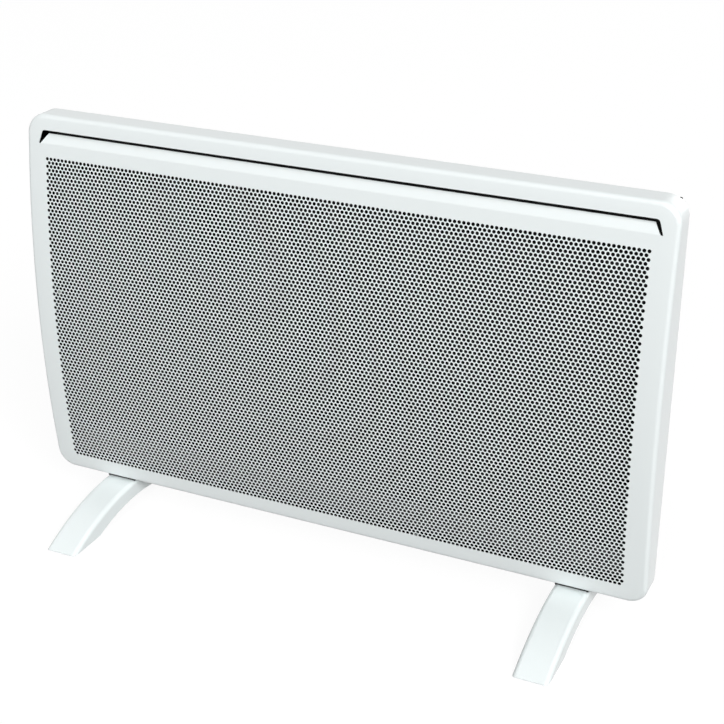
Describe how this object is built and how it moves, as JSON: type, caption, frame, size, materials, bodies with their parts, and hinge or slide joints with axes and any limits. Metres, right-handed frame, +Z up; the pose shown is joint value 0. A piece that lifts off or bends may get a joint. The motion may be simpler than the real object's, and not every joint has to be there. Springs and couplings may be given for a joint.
{
  "type": "radiant panel heater",
  "caption": "Free-standing radiant panel heater: bowed perforated white steel casing with a top outlet slot, on arched white feet, with a black control box behind its top right corner.",
  "frame": {"origin": "on the floor, under the middle of the feet and of the casing's width", "axes": "+X along the casing's width to the right as seen from the front, +Y from the front to the back, +Z up"},
  "size_m": [0.75, 0.268, 0.489],
  "materials": {
    "white_enamel": "satin white stoved enamel",
    "panel_steel": "thin grey-white stoved enamel",
    "zinc_steel": "bright zinc plate",
    "black_aluminium": "matt black heat-proof coating",
    "rod_steel": "dull stainless sheath",
    "bright_steel": "bright aluminised steel",
    "mineral_wool": "matt pressed mineral wool",
    "ceramic": "unglazed ceramic",
    "brown_plastic": "brown thermoset",
    "lead_sleeve": "silicone sleeve",
    "earth_sleeve": "green silicone sleeve",
    "brass": "plain",
    "black_rubber": "matt black",
    "black_plastic": "fine-grained black",
    "black_screw": "black oxide",
    "pale_plastic": "pale heat-proof plastic",
    "amber_lens": "polished amber plastic",
    "lamp_glass": "clear",
    "white_plastic": "glossy white"
  },
  "bodies": {
    "heater": {"front_casing": "white_enamel", "back_panel": "panel_steel", "back_screws": "zinc_steel", "left_bracket": "zinc_steel", "right_bracket": "zinc_steel", "element_screws": "zinc_steel", "element_nuts": "zinc_steel", "base_screws": "zinc_steel", "foot_screws": "zinc_steel", "anchor_plates": "zinc_steel", "thermostat_nut": "zinc_steel", "rod_clips": "zinc_steel", "clip_rivets": "zinc_steel", "rod_terminals": "zinc_steel", "radiant_plate": "black_aluminium", "heating_rod": "rod_steel", "reflector_tray": "bright_steel", "insulation_mat": "mineral_wool", "ceramic_spacers": "ceramic", "rod_seals": "ceramic", "thermal_cutout": "brown_plastic", "element_leads": "lead_sleeve", "earth_lead": "earth_sleeve", "earth_stud": "brass", "lead_grommet": "black_rubber", "cord_inlet": "black_rubber", "saddle_pads": "black_rubber", "sole_pads": "black_rubber", "control_base": "black_plastic", "control_cover": "black_plastic", "switch_body": "black_plastic", "cover_screws": "black_screw", "thermostat_body": "pale_plastic", "terminal_block": "pale_plastic", "pilot_lens": "amber_lens", "pilot_lamp": "lamp_glass", "left_foot": "white_plastic", "right_foot": "white_plastic"},
    "knob": {"thermostat_spindle": "bright_steel", "thermostat_knob": "black_plastic"},
    "rocker": {"power_rocker": "black_plastic"}
  },
  "joints": [
    {"name": "thermostat_turn", "type": "hinge", "parent": "heater", "child": "knob", "pos_m": [0.3605, 0.034, 0.4505], "axis": [1, 0, 0], "range_deg": [0, 270]},
    {"name": "power_tilt", "type": "hinge", "parent": "heater", "child": "rocker", "pos_m": [0.3515, 0.034, 0.4145], "axis": [0, -1, 0], "range_deg": [0, 16]}
  ]
}
